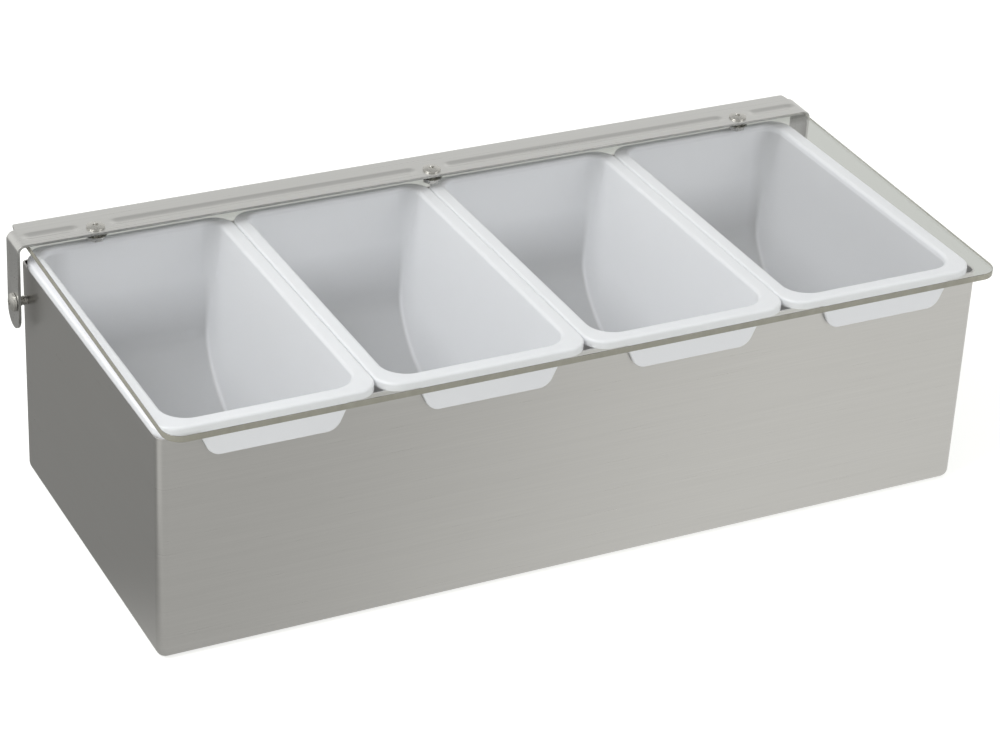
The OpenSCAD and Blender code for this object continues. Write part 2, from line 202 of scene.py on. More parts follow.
class StageSettings(bpy.types.PropertyGroup):
    floor: colour("Floor", "Colour of the floor", (0.60, 0.61, 0.58))
    backdrop: colour("Backdrop", "Colour of the floor as it shows through the clear cover", (0.54, 0.55, 0.52))
    floor_glow: level("Floor glow", "Light added to the floor for the camera", 0.62)
    # Painted light and shade on the floor, seen only in the steel: darker on the left, lighter on the right and far
    # away.
    painted_floor_shade: level("Floor dark", "Floor in the steel, on the far left", 0.30)
    painted_front_shade: level("Front dark", "Floor in the steel, on the near left", 0.58)
    painted_floor_light: level("Floor light", "Floor in the steel, on the near right", 0.88)
    # Painted light: a bright patch on the floor, which the box's front left bend mirrors as a highlight.
    patch: place("Patch", "Middle of a bright patch of floor beside the front left corner", (-0.30, -0.13, 0.0))
    painted_patch_light: level("Patch light", "Patch of floor in the steel", 0.8)
    sky_dark: level("Sky dark", "Studio in the steel, overhead", 0.50)
    sky_light: level("Sky light", "Studio in the steel, all round", 0.85)
    world_level: level("World", "Strength of the even light", 0.64)
    key_power: level("Key", "Power of the large lamp", 10.6, "POWER")
    key_place: place("Key place", "Place of the large lamp", (-0.97, -0.12, 1.1))
    key_size: length("Key size", "Side of the large lamp", 0.7)
    fill_power: level("Fill", "Power of the side lamp", 3.6, "POWER")
    fill_place: place("Fill place", "Place of the side lamp", (0.8, -1.1, 0.6))
    fill_size: length("Fill size", "Side of the side lamp", 0.8)
    lamp_aim: place("Lamp aim", "Point that both lamps look at", (0, 0, 0.05))
    lens: level("Lens", "Focal length of the camera", 110.4, "CAMERA")
    eye: place("Eye", "Place of the camera", (-0.44768, -0.85052, 0.58186))
    aim: place("Aim", "Point in the middle of the view", (-0.00047, -0.0016, 0.04198))
    roll: angle("Roll", "Turn of the camera about its line of sight", -3.02)


class CaddySettings(bpy.types.PropertyGroup):
    box: PointerProperty(type=BoxSettings)
    pan: PointerProperty(type=PanSettings)
    cover: PointerProperty(type=CoverSettings)
    bracket: PointerProperty(type=BracketSettings)
    screw: PointerProperty(type=ScrewSettings)
    stage: PointerProperty(type=StageSettings)


# ---------- Modelling tools ----------


def clear_selection():
    """Leaves edit mode and deselects every object."""
    if bpy.context.mode != "OBJECT":
        bpy.ops.object.mode_set(mode="OBJECT")
    bpy.ops.object.select_all(action="DESELECT")


def activate(obj):
    """Makes obj the only selected object and the active one."""
    clear_selection()
    obj.select_set(True)
    bpy.context.view_layer.objects.active = obj
    return obj


def new_piece(name):
    """Names the primitive just added and puts its place into its mesh."""
    obj = bpy.context.active_object
    obj.name = name
    obj.data.name = name
    bpy.ops.object.transform_apply(location=True, rotation=True, scale=True)
    return obj


def start_from(name, add, **values):
    """Adds a primitive with nothing else selected."""
    clear_selection()
    add(**values)
    return new_piece(name)


def block(name, low, high):
    """Adds a block between two corners."""
    low, high = Vector(low), Vector(high)
    return start_from(name, bpy.ops.mesh.primitive_cube_add, size=1, location=(low + high) / 2, scale=high - low)


def edit(obj, kind, action="DESELECT"):
    """Opens obj in edit mode, to pick its VERT, EDGE or FACE elements, with none or all of them selected."""
    activate(obj)
    bpy.ops.object.mode_set(mode="EDIT")
    bpy.ops.mesh.select_mode(type=kind)
    bpy.ops.mesh.select_all(action=action)


def pick(obj, kind, test):
    """Opens obj in edit mode and selects the elements that pass the test, at least one of them."""
    edit(obj, kind)
    mesh = bmesh.from_edit_mesh(obj.data)
    elements = {"VERT": mesh.verts, "EDGE": mesh.edges, "FACE": mesh.faces}[kind]
    mesh.normal_update()
    found = [e for e in elements if test(e)]
    if not found:
        raise RuntimeError(f"Nothing to select on {obj.name}")
    for e in found:
        e.select_set(True)
    mesh.select_flush_mode()
    bmesh.update_edit_mesh(obj.data)


def runs_along(edge, axis):
    """True if an edge lies along an axis: 0 for X, 1 for Y, 2 for Z."""
    span = edge.verts[1].co - edge.verts[0].co
    return abs(span[axis]) > 0.999 * span.length


def lies_at(element, axis, coordinate):
    """True if every corner of an edge or a face has that coordinate."""
    return all(abs(v.co[axis] - coordinate) < SLACK for v in element.verts)


def close_edit():
    """Goes back to object mode."""
    bpy.ops.object.mode_set(mode="OBJECT")


def add_modifier(obj, kind, **values):
    """Adds a modifier with these values and applies it."""
    activate(obj)
    modifier = obj.modifiers.new(kind.title(), kind)
    for key, value in values.items():
        setattr(modifier, key, value)
    bpy.ops.object.modifier_apply(modifier=modifier.name)


def combine(obj, other, operation):
    """Adds other to obj, or cuts it out of it, and removes other."""
    add_modifier(obj, "BOOLEAN", object=other, operation=operation, solver="EXACT")
    bpy.data.objects.remove(other)


def smooth(obj, degrees=35):
    """Smooth shading that keeps edges sharper than this angle, with the flats left flat."""
    activate(obj)
    bpy.ops.object.shade_smooth_by_angle(angle=math.radians(degrees))
    add_modifier(obj, "WEIGHTED_NORMAL", keep_sharp=True, weight=60)


def bevel(obj, test, offset, segments):
    """Bevels the edges that pass the test."""
    pick(obj, "EDGE", test)
    bpy.ops.mesh.bevel(offset=offset, segments=segments, affect="EDGES")
    close_edit()


def extrude(x, y, z):
    """Extrudes what is selected in edit mode."""
    bpy.ops.mesh.extrude_region_move(TRANSFORM_OT_translate={"value": (x, y, z)})


def drill(obj, sides, radius, depth, middle=(0, 0, 0)):
    """Cuts an upright round hole."""
    add = bpy.ops.mesh.primitive_cylinder_add
    hole = start_from("hole", add, vertices=sides, radius=radius, depth=depth, location=middle)
    combine(obj, hole, "DIFFERENCE")


def thicken(obj, sheet, cut_edge):
    """Gives a skin its sheet's thickness, inwards, and tiny bevels along the cut edges."""
    add_modifier(obj, "SOLIDIFY", thickness=sheet, offset=-1, use_even_offset=True)
    add_modifier(obj, "BEVEL", width=cut_edge, segments=2, limit_method="ANGLE", angle_limit=math.radians(60))


def move_points(obj, change):
    """Calls change on each vertex of a piece."""
    edit(obj, "VERT")
    mesh = bmesh.from_edit_mesh(obj.data)
    for vertex in mesh.verts:
        change(vertex)
    bmesh.update_edit_mesh(obj.data)
    close_edit()


def face_outwards(obj):
    """Merges doubles and turns every face outwards."""
    edit(obj, "FACE", "SELECT")
    bpy.ops.mesh.remove_doubles(threshold=SLACK)
    bpy.ops.mesh.normals_make_consistent(inside=False)
    close_edit()


def move_mesh(obj, matrix):
    """Moves a piece and puts its new place into its mesh."""
    activate(obj)
    obj.matrix_world = matrix @ obj.matrix_world
    bpy.ops.object.transform_apply(location=True, rotation=True, scale=True)


def paint(obj, material, edge_material, is_edge):
    """Gives a piece one material, and another one on the faces that pass the test."""
    obj.data.materials.append(material)
    obj.data.materials.append(edge_material)
    for face in obj.data.polygons:
        face.material_index = int(is_edge(face))


def finish_piece(obj, body, slot, material, *nodes):
    """Gives a piece its material and body, and hides the CAD nodes that it stands for; slot is not used."""
    if not obj.data.materials:
        obj.data.materials.append(material)
    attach(obj, body)
    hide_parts(*nodes)


# ---------- Materials ----------


def new_material(name):
    """A plain node material, with its node tree and its shader."""
    material = bpy.data.materials.new(name)
    material.use_nodes = True
    tree = material.node_tree
    shader = tree.nodes["Principled BSDF"]
    return material, tree, shader


def put(tree, socket, value):
    """Joins another node's output to an input, or sets the input to a constant."""
    if isinstance(value, bpy.types.NodeSocket):
        tree.links.new(value, socket)
    else:
        socket.default_value = value


def feed(tree, node, **values):
    """Puts outputs or constants into a node's inputs by name."""
    for key, value in values.items():
        put(tree, node.inputs[key.replace("_", " ")], value)


def add_node(tree, kind, **values):
    """Adds a node and puts outputs or constants into its inputs by name."""
    node = tree.nodes.new(kind)
    feed(tree, node, **values)
    return node


def add_in_order(tree, kind, *values, operation=None):
    """Adds a node, puts outputs or constants into its inputs in order, and gives its outputs."""
    node = tree.nodes.new(kind)
    if operation:
        node.operation = operation
    for socket, value in zip(node.inputs, values):
        put(tree, socket, value)
    return node.outputs


def object_point(tree):
    """The place on the piece, in the frame's own coordinates."""
    return tree.nodes.new("ShaderNodeTexCoord").outputs["Object"]


def grain_group():
    """Fine brushed grain: streaks that are long where Scale is small and thin where it is large."""
    name = "Brushed grain"
    if name in bpy.data.node_groups:
        return bpy.data.node_groups[name]
    group = bpy.data.node_groups.new(name, "ShaderNodeTree")
    for socket, direction, kind in (
        ("Scale", "INPUT", "Vector"), ("Strength", "INPUT", "Float"),
        ("Grain", "OUTPUT", "Float"), ("Cloud", "OUTPUT", "Float"), ("Normal", "OUTPUT", "Vector"),
    ):
        group.interface.new_socket(socket, in_out=direction, socket_type=f"NodeSocket{kind}")
    asked = group.nodes.new("NodeGroupInput").outputs
    point = object_point(group)
    stretched = vector_maths(group, "MULTIPLY", point, asked["Scale"], "Vector")
    noise = "ShaderNodeTexNoise"
    streaks = add_node(group, noise, Vector=stretched, Scale=1.0, Detail=3.0, Roughness=0.6).outputs["Fac"]
    clouds = add_node(group, noise, Vector=point, Scale=14.0, Detail=2.0, Roughness=0.5).outputs["Fac"]
    bump = add_node(group, "ShaderNodeBump", Height=streaks, Strength=asked["Strength"], Distance=0.0002)
    add_node(group, "NodeGroupOutput", Grain=streaks, Cloud=clouds, Normal=bump.outputs["Normal"])
    return group


def add_grain(tree, scale, strength):
    """The grain's outputs, with streaks of this scale and bumps of this strength."""
    grain = tree.nodes.new("ShaderNodeGroup")
    grain.node_tree = grain_group()
    feed(tree, grain, Scale=scale, Strength=strength)
    return grain.outputs


def ramp_between(tree, value, start, end, low, high, kind="LINEAR"):
    """Maps start..end onto low..high and holds the ends."""
    node = add_node(
        tree, "ShaderNodeMapRange", Value=value, From_Min=start, From_Max=end, To_Min=low, To_Max=high
    )
    node.interpolation_type = kind
    return node.outputs["Result"]


def mix_range(tree, noise, low, high):
    """Maps a noise, which seldom leaves its middle half, onto low..high."""
    return ramp_between(tree, noise, 0.25, 0.75, low, high)


def maths(tree, operation, first, second):
    """Joins two values by a Math node."""
    return add_in_order(tree, "ShaderNodeMath", first, second, operation=operation)["Value"]


def vector_maths(tree, operation, first, second, output):
    """Joins two vectors by a Vector Math node."""
    return add_in_order(tree, "ShaderNodeVectorMath", first, second, operation=operation)[output]


def shade_of(tree, base, factor):
    """The base colour made lighter or darker by a factor that varies over the surface."""
    node = tree.nodes.new("ShaderNodeVectorMath")
    node.operation = "SCALE"
    feed(tree, node, Vector=base, Scale=factor)
    return node.outputs["Vector"]


def brushed_steel(name, base, scale, strength, roughness, shade, spread, axis="Z", turn=0.0):
    """Steel with a fine grain along one direction, which spreads reflections across the grain."""
    material, tree, shader = new_material(name)
    grain = add_grain(tree, scale, strength)
    tone = mix_range(tree, grain["Grain"], *shade)
    rough = mix_range(tree, grain["Grain"], *roughness)
    tangent = tree.nodes.new("ShaderNodeTangent")
    tangent.direction_type = "RADIAL"
    tangent.axis = axis
    feed(
        tree, shader, Base_Color=shade_of(tree, base, tone), Roughness=rough, Normal=grain["Normal"], Metallic=1.0,
        Anisotropic=spread, Anisotropic_Rotation=turn, Tangent=tangent.outputs["Tangent"],
    )
    return material


def box_steel(settings):
    """Brushed along the box, front to back at its ends."""
    return brushed_steel(
        "box_steel", settings.steel, scale=(25, 25, 2600), strength=0.10, roughness=(0.27, 0.35),
        shade=(0.965, 1.035), spread=0.5, turn=0.25,
    )


def bracket_steel(settings):
    """Satin, with its grain along the bracket."""
    return brushed_steel(
        "bracket_steel", settings.steel, scale=(10, 1500, 1500), strength=0.06, roughness=(0.26, 0.34),
        shade=(0.96, 1.04), spread=0.4, axis="X",
    )


def cut_steel(settings):
    """Sheared edge of the bracket: darker and rougher than its faces."""
    return brushed_steel(
        "cut_steel", settings.cut_steel, scale=(900, 900, 300), strength=0.12, roughness=(0.40, 0.52),
        shade=(0.85, 1.12), spread=0.0, axis="X",
    )


def screw_steel(settings):
    """Plain steel with a fine even grain, for what clamps the cover."""
    return brushed_steel(
        "screw_steel", settings.steel, scale=(900, 900, 900), strength=0.05, roughness=(0.22, 0.34),
        shade=(0.85, 1.1), spread=0.0,
    )


def pan_plastic(settings):
    """Thin white plastic, faintly mottled, with painted shade that greys it deep below the rim and on the row's two end
    walls.
    """
    material, tree, shader = new_material("pan_plastic")
    shape = PanShape(settings)
    rim = shape.rim_low
    normal = tree.nodes.new("ShaderNodeNewGeometry").outputs["Normal"]
    point = add_node(tree, "ShaderNodeSeparateXYZ", Vector=object_point(tree)).outputs
    facing = add_node(tree, "ShaderNodeSeparateXYZ", Vector=normal).outputs

    # Painted shade: greyer with depth below the rim, by the divider share on walls that face sideways.
    high, low = rim - settings.painted_shade_start, rim - settings.painted_shade_depth
    depth = ramp_between(tree, point["Z"], low, high, 1.0 - settings.shade, 0.0)
    sideways = maths(tree, "ABSOLUTE", facing["X"], 0.0)
    facing_shade_share = ramp_between(tree, sideways, *FACING_SIDEWAYS, 1.0, settings.divider_shade_share)
    middle = maths(tree, "SUBTRACT", 1.0, maths(tree, "MULTIPLY", depth, facing_shade_share))

    # Painted shade: the row's two end walls grey below the rim.
    row_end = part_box(PAN_NODES[-1])[1].x - settings.rim_width
    aside = maths(tree, "ABSOLUTE", point["X"], 0.0)
    ends = ramp_between(tree, aside, row_end - settings.corner, row_end - settings.end_blend, 0.0, 1.0)
    below = ramp_between(tree, point["Z"], rim, rim + settings.end_blend, 1.0 - settings.end_painted_shade, 0.0)
    end = maths(tree, "SUBTRACT", 1.0, maths(tree, "MULTIPLY", ends, below))

    grain = add_grain(tree, (700, 700, 700), 0.03)
    mottle = mix_range(tree, grain["Cloud"], settings.mottle, 1.01)
    # The painted shade of the depth and of the end walls, times the real mottle.
    tone = maths(tree, "MULTIPLY", maths(tree, "MULTIPLY", middle, end), mottle)
    rough = mix_range(tree, grain["Grain"], 0.34, 0.42)
    feed(
        tree, shader, Base_Color=shade_of(tree, settings.plastic, tone), Roughness=rough, Normal=grain["Normal"],
        Subsurface_Weight=settings.see_in, Subsurface_Radius=(1.0, 1.0, 1.0), Subsurface_Scale=settings.wall,
    )
    return material


def mix_shaders(tree, amount, first, second):
    """The first shader, or the second one where the amount is one."""
    return add_in_order(tree, "ShaderNodeMixShader", amount, first, second)["Shader"]


def seen_by(tree, ray, seen, otherwise):
    """Shows one shader to a kind of ray, and the other one to all the rest."""
    path = tree.nodes.new("ShaderNodeLightPath")
    return mix_shaders(tree, path.outputs[ray], otherwise, seen)


def let_light_through(tree, shader, passed):
    """Lets light pass a clear material straight on, so that what lies under it is lit."""
    path = tree.nodes.new("ShaderNodeLightPath")
    soft = maths(tree, "MAXIMUM", path.outputs["Is Shadow Ray"], path.outputs["Is Diffuse Ray"])
    through = add_node(tree, "ShaderNodeBsdfTransparent", Color=(passed, passed, passed, 1))
    surface = mix_shaders(tree, soft, shader.outputs["BSDF"], through.outputs["BSDF"])
    feed(tree, tree.nodes["Material Output"], Surface=surface)


def clear_sheet(settings):
    """Clear plastic with faint wipe marks."""
    material, tree, shader = new_material("clear_sheet")
    rough = mix_range(tree, add_grain(tree, (60, 60, 60), 0.0)["Cloud"], 0.0, 0.02)
    feed(tree, shader, Base_Color=(*settings.tint, 1), Roughness=rough, Transmission_Weight=1.0, IOR=PLASTIC_IOR)
    let_light_through(tree, shader, settings.light_through)
    return material


def sheet_edge(settings):
    """The clear sheet's cut edge, where light gathers and looks olive."""
    material, tree, shader = new_material("sheet_edge")
    tone = mix_range(tree, add_grain(tree, (300, 300, 60), 0.05)["Grain"], 0.92, 1.08)
    tint = shade_of(tree, settings.edge_tint, tone)
    feed(tree, shader, Base_Color=tint, Roughness=0.2, Transmission_Weight=0.35, IOR=PLASTIC_IOR)
    let_light_through(tree, shader, settings.edge_through)
    return material


# ---------- Steel box ----------


def make_box(settings):
    """Open box of one sheet: rounded upright corners and bottom edge, bare cut edge at the top."""
    low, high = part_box("body_shell")
    box = block("box_shell", low, high)
    pick(box, "EDGE", lambda e: runs_along(e, 2) and lies_at(e, 1, low.y) or lies_at(e, 2, low.z))
    bpy.ops.transform.edge_bevelweight(value=1)
    close_edit()
    pick(box, "EDGE", lambda e: runs_along(e, 2) and lies_at(e, 1, high.y))
    bpy.ops.transform.edge_bevelweight(value=settings.back_corner / settings.corner)
    close_edit()
    add_modifier(box, "BEVEL", width=settings.corner, segments=8, limit_method="WEIGHT")
    pick(box, "FACE", lambda f: lies_at(f, 2, high.z))
    bpy.ops.mesh.delete(type="FACE")
    close_edit()
    thicken(box, settings.sheet, settings.cut_edge)
    smooth(box)
    finish_piece(box, "caddy", "steel_box", box_steel(settings), "body_shell")


# ---------- Pans ----------


class PanShape:
    """Sizes of one pan, worked out from its CAD node and the settings, about the middle of its mouth."""

    def __init__(self, settings):
        self.s = settings
        self.low, self.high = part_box(PAN_NODES[0])
        self.rim_top = self.high.z
        self.rim_low = self.rim_top - settings.rim_thickness
        self.floor = self.low.z + settings.wall
        self.half = (self.high.x - self.low.x) / 2 - settings.rim_width
        self.front = self.low.y + settings.rim_width
        self.back = self.high.y - settings.back_rim
        self.scoop_z = self.floor + settings.scoop
        self.scoop_y = self.back - settings.ramp_reach
        lean = settings.back_draft
        arm = settings.scoop - settings.knee
        room = (self.back_at(self.scoop_z) - self.scoop_y) * math.cos(lean) - settings.knee
        self.ramp_angle = math.asin(room / arm) - lean
        self.wall_angle = math.pi / 2 - lean
        self.knee_y = self.scoop_y + arm * math.sin(self.ramp_angle)
        self.knee_z = self.scoop_z - arm * math.cos(self.ramp_angle)

    def half_at(self, z):
        return self.half - (self.rim_top - z) * math.tan(self.s.draft)

    def back_at(self, z):
        return self.back - (self.rim_top - z) * math.tan(self.s.back_draft)

    def front_at(self, z):
        return self.front + (self.rim_top - z) * math.tan(self.s.draft)


def add_disc(x, y, z, radius, depth, sides):
    """Adds an upright disc in edit mode, its underside at z."""
    bpy.ops.mesh.primitive_cylinder_add(vertices=sides, radius=radius, depth=depth, location=(x, y, z + depth / 2))


def add_ball(x, y, z, radius, sides):
    """Adds a ball in edit mode."""
    bpy.ops.mesh.primitive_uv_sphere_add(segments=sides, ring_count=sides // 2, radius=radius, location=(x, y, z))


def scoop_body(name, shape, grow, top, sides, steps):
    """The pan's hollow, grown by a wall: a skin stretched over round corners and balls along the ramp."""
    s = shape.s
    body = start_from(name, bpy.ops.mesh.primitive_cylinder_add, vertices=sides, radius=s.crease, depth=s.crease)
    edit(body, "VERT", "SELECT")
    bpy.ops.mesh.delete(type="VERT")
    for side in SIDES:
        for radius, y in ((s.corner, shape.front + s.corner), (s.back_corner, shape.back - s.back_corner)):
            add_disc(side * (shape.half - radius), y, shape.rim_low, radius + grow, top - shape.rim_low, sides)
        knee_x = side * (shape.half_at(shape.knee_z) - s.back_corner)
        knee_y = shape.back_at(shape.knee_z) - s.back_corner
        add_disc(knee_x, knee_y, shape.knee_z, s.back_corner + grow, THIN, sides)
        toe_x = side * (shape.half_at(shape.floor) - s.toe)
        add_ball(toe_x, shape.front_at(shape.floor) + s.toe, shape.floor + s.toe, s.toe + grow, sides)
        bends = [(shape.scoop_y, shape.scoop_z, s.scoop, shape.ramp_angle * i / steps) for i in range(steps)]
        turn = shape.wall_angle - shape.ramp_angle
        bends += [
            (shape.knee_y, shape.knee_z, s.knee, shape.ramp_angle + turn * i / (steps // 2 + 0.5))
            for i in range(steps // 2 + 1)
        ]
        for middle_y, middle_z, radius, turn in bends:
            y = middle_y + (radius - s.crease) * math.sin(turn)
            z = middle_z - (radius - s.crease) * math.cos(turn)
            add_ball(side * (shape.half_at(z) - s.crease), y, z, s.crease + grow, sides // 2)
    bpy.ops.mesh.select_all(action="SELECT")
    bpy.ops.mesh.convex_hull(face_threshold=math.radians(0.5), shape_threshold=math.radians(60))
    close_edit()
    face_outwards(body)
    return body


def pan_rim(shape):
    """Flat rim plate with round corners and a soft outer top edge."""
    s = shape.s
    half = (shape.high.x - shape.low.x) / 2
    rim = block("pan_rim", (-half, shape.low.y, shape.rim_low), (half, shape.high.y, shape.rim_top))
    bevel(rim, lambda e: runs_along(e, 2), s.rim_corner, segments=12)
    bevel(rim, lambda e: lies_at(e, 2, shape.rim_top), s.rim_edge, segments=4)
    return rim


def pan_tab(shape):
    """Tab that hangs from the rim in front of the box's wall, narrower and rounded below."""
    s = shape.s
    front = shape.low.y
    low = shape.rim_low - s.tab_drop
    left = s.tab_shift - s.tab_top / 2
    high = shape.rim_low + s.rim_edge
    tab = block("pan_tab", (left, front, low), (left + s.tab_top, front + s.tab_thickness, high))
    pick(tab, "VERT", lambda v: v.co.z < low + SLACK)
    bpy.ops.transform.resize(value=(s.tab_low / s.tab_top, 1, 1), center_override=(s.tab_shift, front, low))
    close_edit()
    bevel(tab, lambda e: runs_along(e, 1) and lies_at(e, 2, low), s.tab_corner, segments=8)
    outline = shape.rim_low + s.rim_edge / 2
    edge = s.tab_thickness / 4
    bevel(tab, lambda e: lies_at(e, 1, front) and min(v.co.z for v in e.verts) < outline, edge, segments=3)
    return tab


def make_pans(settings):
    """One pan modelled about the middle of its mouth, then a copy for each place."""
    shape = PanShape(settings)
    pan = scoop_body("pan_1", shape, settings.wall, shape.rim_low + settings.wall / 2, sides=48, steps=20)
    combine(pan, pan_rim(shape), "UNION")
    combine(pan, pan_tab(shape), "UNION")
    hollow = scoop_body("pan_hollow", shape, 0, shape.rim_top + settings.rim_width, sides=64, steps=28)
    combine(pan, hollow, "DIFFERENCE")
    edge = settings.mouth_edge

    def beside_mouth(point):
        return abs(point.x) < shape.half + edge and shape.front - edge < point.y < shape.back + edge

    def on_mouth(element):
        return lies_at(element, 2, shape.rim_top) and all(beside_mouth(v.co) for v in element.verts)

    bevel(pan, on_mouth, edge, segments=5)
    smooth(pan, degrees=40)
    material = pan_plastic(settings)
    pan.data.materials.append(material)
    for number, node in enumerate(PAN_NODES, 1):
        low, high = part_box(node)
        copy = pan.copy()
        copy.data = pan.data.copy()
        copy.name = copy.data.name = f"scoop_pan_{number}"
        bpy.context.scene.collection.objects.link(copy)
        move_mesh(copy, Matrix.Translation(((low.x + high.x) / 2, 0, 0)))
        finish_piece(copy, "caddy", "pan_plastic", material, node)
    bpy.data.objects.remove(pan)


# ---------- Cover and bracket ----------


class LidShape:
    """Places in the cover's own frame: y from the middle line of the arms, z from the pivots."""

    def __init__(self, settings):
        cover, bracket, pan = settings.cover, settings.bracket, settings.pan
        rim_low, rim_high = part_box(PAN_NODES[0])
        arms_low, arms_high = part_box("hinge_bracket")
        joint = next(j for j in frame["joints"] if j["child"] == "cover")
        self.pivot = Vector(joint["pos_m"])
        rise = rim_high.z - self.pivot.z
        run = self.pivot.y - rim_low.y
        self.low = rise + cover.lift
        self.top = self.low + cover.thickness
        self.plate_low = self.top + bracket.bead_depth
        self.plate_top = self.plate_low + bracket.sheet
        self.setback = bracket.setback
        self.screw_y = -bracket.screws_forward
        self.front = -(run + self.setback + cover.overhang)
        self.half = (arms_high.x - arms_low.x) / 2
        self.tilt = math.asin((self.low - cover.contact) / math.hypot(rise, run)) - math.atan2(rise, run)
        self.screws = [sum(corner.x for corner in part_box(f"cover_screw_{key}")) / 2 for key in COVER_SCREWS]

    def place(self, obj):
        """Puts a piece that was modelled level onto the pivots, tipped down onto the rims."""
        back = Matrix.Translation((0, self.setback, 0))
        move_mesh(obj, Matrix.Translation(self.pivot) @ Matrix.Rotation(self.tilt, 4, "X") @ back)


def make_cover(settings):
    """Clear sheet with round corners, tiny bevels and tinted cut edges."""
    s = settings.cover
    lid = LidShape(settings)
    low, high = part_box("clear_cover")
    sheet = block("cover_sheet", (low.x, lid.front, lid.low), (high.x, s.back_reach, lid.top))
    bevel(sheet, lambda e: runs_along(e, 2), s.corner, segments=12)
    hole = settings.screw.diameter / 2 + s.edge / 4
    for x in lid.screws:
        drill(sheet, 32, hole, depth=3 * s.thickness, middle=(x, lid.screw_y, lid.low))
    bevel(sheet, lambda e: lies_at(e, 2, lid.low) or lies_at(e, 2, lid.top), s.edge, segments=2)
    paint(sheet, clear_sheet(s), sheet_edge(s), lambda f: abs(f.normal.z) < 0.9)
    smooth(sheet, degrees=50)
    lid.place(sheet)
    finish_piece(sheet, "cover", "clear_plastic", None, "clear_cover")


def bead_spans(lid, s, plate_half):
    """Where the beads run along the plate: beside and between the screws."""
    left, middle, right = lid.screws
    gap = s.bead_setback
    end = plate_half - s.bead_margin
    return [(-end, left - gap), (left + gap, middle - gap), (middle + gap, right - gap), (right + gap, end)]


def press_beads(plate, spans, s):
    """Presses round-ended beads into the plate's grid."""
    half = s.bead_width / 2

    def press(vertex):
        for start, end in spans:
            nearest = min(max(vertex.co.x, start + half), end - half)
            away = math.hypot(vertex.co.x - nearest, vertex.co.y)
            if away < half:
                vertex.co.z -= s.bead_depth * (0.5 + 0.5 * math.cos(math.pi * away / half)) ** BEAD_CREST

    move_points(plate, press)


def round_ends(plate, plate_half, start, s):
    """Rounds the ends of the turned-down back edge inwards, more the further it has turned."""
    reach = 2 * s.end_corner
    top = max(v.co.z for v in plate.data.vertices)

    def draw_in(vertex):
        if vertex.co.y > start:
            turn = min(1.0, (vertex.co.y - start + top - vertex.co.z) / reach)
            near_end = max(0.0, (abs(vertex.co.x) - plate_half) / (3 * reach) + 1.0)
            vertex.co.x -= math.copysign(s.end_corner * (1 - math.cos(turn * math.pi / 2)) * near_end, vertex.co.x)

    move_points(plate, draw_in)


def make_bracket(settings):
    """One strip: a beaded plate, a turned-down back edge and an arm bent down at each end."""
    s = settings.bracket
    lid = LidShape(settings)
    plate_half = lid.half - s.bend
    arm_half = s.arm_width / 2
    columns = round(2 * plate_half / s.cell_length)
    rows = round(s.arm_width / s.cell_width)
    clear_selection()
    bpy.ops.mesh.primitive_grid_add(x_subdivisions=columns, y_subdivisions=rows, size=1, location=(0, 0, lid.plate_top))
    bpy.ops.transform.resize(value=(2 * plate_half, s.arm_width, 1))
    plate = new_piece("cover_bracket")
    press_beads(plate, bead_spans(lid, s, plate_half), s)
    hem_y = arm_half + s.plate_extra - s.hem
    pick(plate, "EDGE", lambda e: lies_at(e, 1, arm_half))
    extrude(0, hem_y - arm_half, 0)
    bpy.ops.mesh.spin(steps=6, angle=math.radians(90), center=(0, hem_y, lid.plate_top - s.hem), axis=(1, 0, 0))
    extrude(0, 0, s.hem - s.hem_depth)
    close_edit()
    round_ends(plate, plate_half, hem_y - s.hem, s)
    for side in SIDES:
        end = side * plate_half
        pick(plate, "EDGE", lambda e: lies_at(e, 0, end) and max(v.co.y for v in e.verts) < arm_half + SLACK)
        middle = (end, 0, lid.plate_top - s.bend)
        bpy.ops.mesh.spin(steps=8, angle=math.radians(-90), center=middle, axis=(0, side, 0))
        extrude(0, 0, s.bend - s.arm_tail - lid.plate_top)
        extrude(0, 0, 0)
        mesh = bmesh.from_edit_mesh(plate.data)
        for vertex in mesh.verts:
            if vertex.select:
                across = min(abs(vertex.co.y), arm_half)
                vertex.co.z = -s.arm_tail - math.sqrt(arm_half**2 - across**2)
        bmesh.update_edit_mesh(plate.data)
        close_edit()
    face_outwards(plate)
    thicken(plate, s.sheet, s.cut_edge)
    smooth(plate)
    front = s.sheet / 4 - arm_half
    paint(plate, bracket_steel(s), cut_steel(s), lambda f: f.normal.y < -0.5 and f.center.y < front)
    lid.place(plate)
    finish_piece(plate, "cover", "steel_bracket", None, "hinge_bracket")


# ---------- Screws, washers and nuts ----------


def turned(name, profile, sides=40):
    """A piece turned about Z: a disc extruded from one (radius, height) of the profile to the next."""
    (radius, height), rest = profile[0], profile[1:]
    add = bpy.ops.mesh.primitive_circle_add
    piece = start_from(name, add, vertices=sides, radius=radius, fill_type="NGON", location=(0, 0, height))
    edit(piece, "FACE", "SELECT")
    for next_radius, next_height in rest:
        extrude(0, 0, next_height - height)
        ratio = next_radius / radius
        bpy.ops.transform.resize(value=(ratio, ratio, 1), center_override=(0, 0, next_height))
        radius, height = next_radius, next_height
    close_edit()
    face_outwards(piece)
    return piece


def head_profile(s, height):
    """Dome of a head, from its flat underside up."""
    radius = s.head / 2
    dome = (radius**2 + (height / 2) ** 2) / height
    start = math.asin(radius / dome)
    points = [(radius * 0.97, 0.0), (radius, height * 0.04), (radius, height / 2)]
    steps = 8
    for i in range(1, steps + 1):
        turn = start * (1 - i / (steps + 0.5))
        points.append((dome * math.sin(turn), height - dome + dome * math.cos(turn)))
    return points


def shank_profile(s, shank):
    """Threaded shank from its tip at -shank up to the head."""
    radius = s.diameter / 2
    root = radius - s.thread_depth
    points = [(root * 0.7, -shank), (root, -shank + s.thread / 2)]
    height = -shank + s.thread / 2
    while height + 2 * s.thread < 0:
        points.append((radius, height + s.thread / 2))
        points.append((root, height + s.thread))
        height += s.thread
    points.append((radius, height + s.thread / 2))
    points.append((radius, 0.0))
    return points


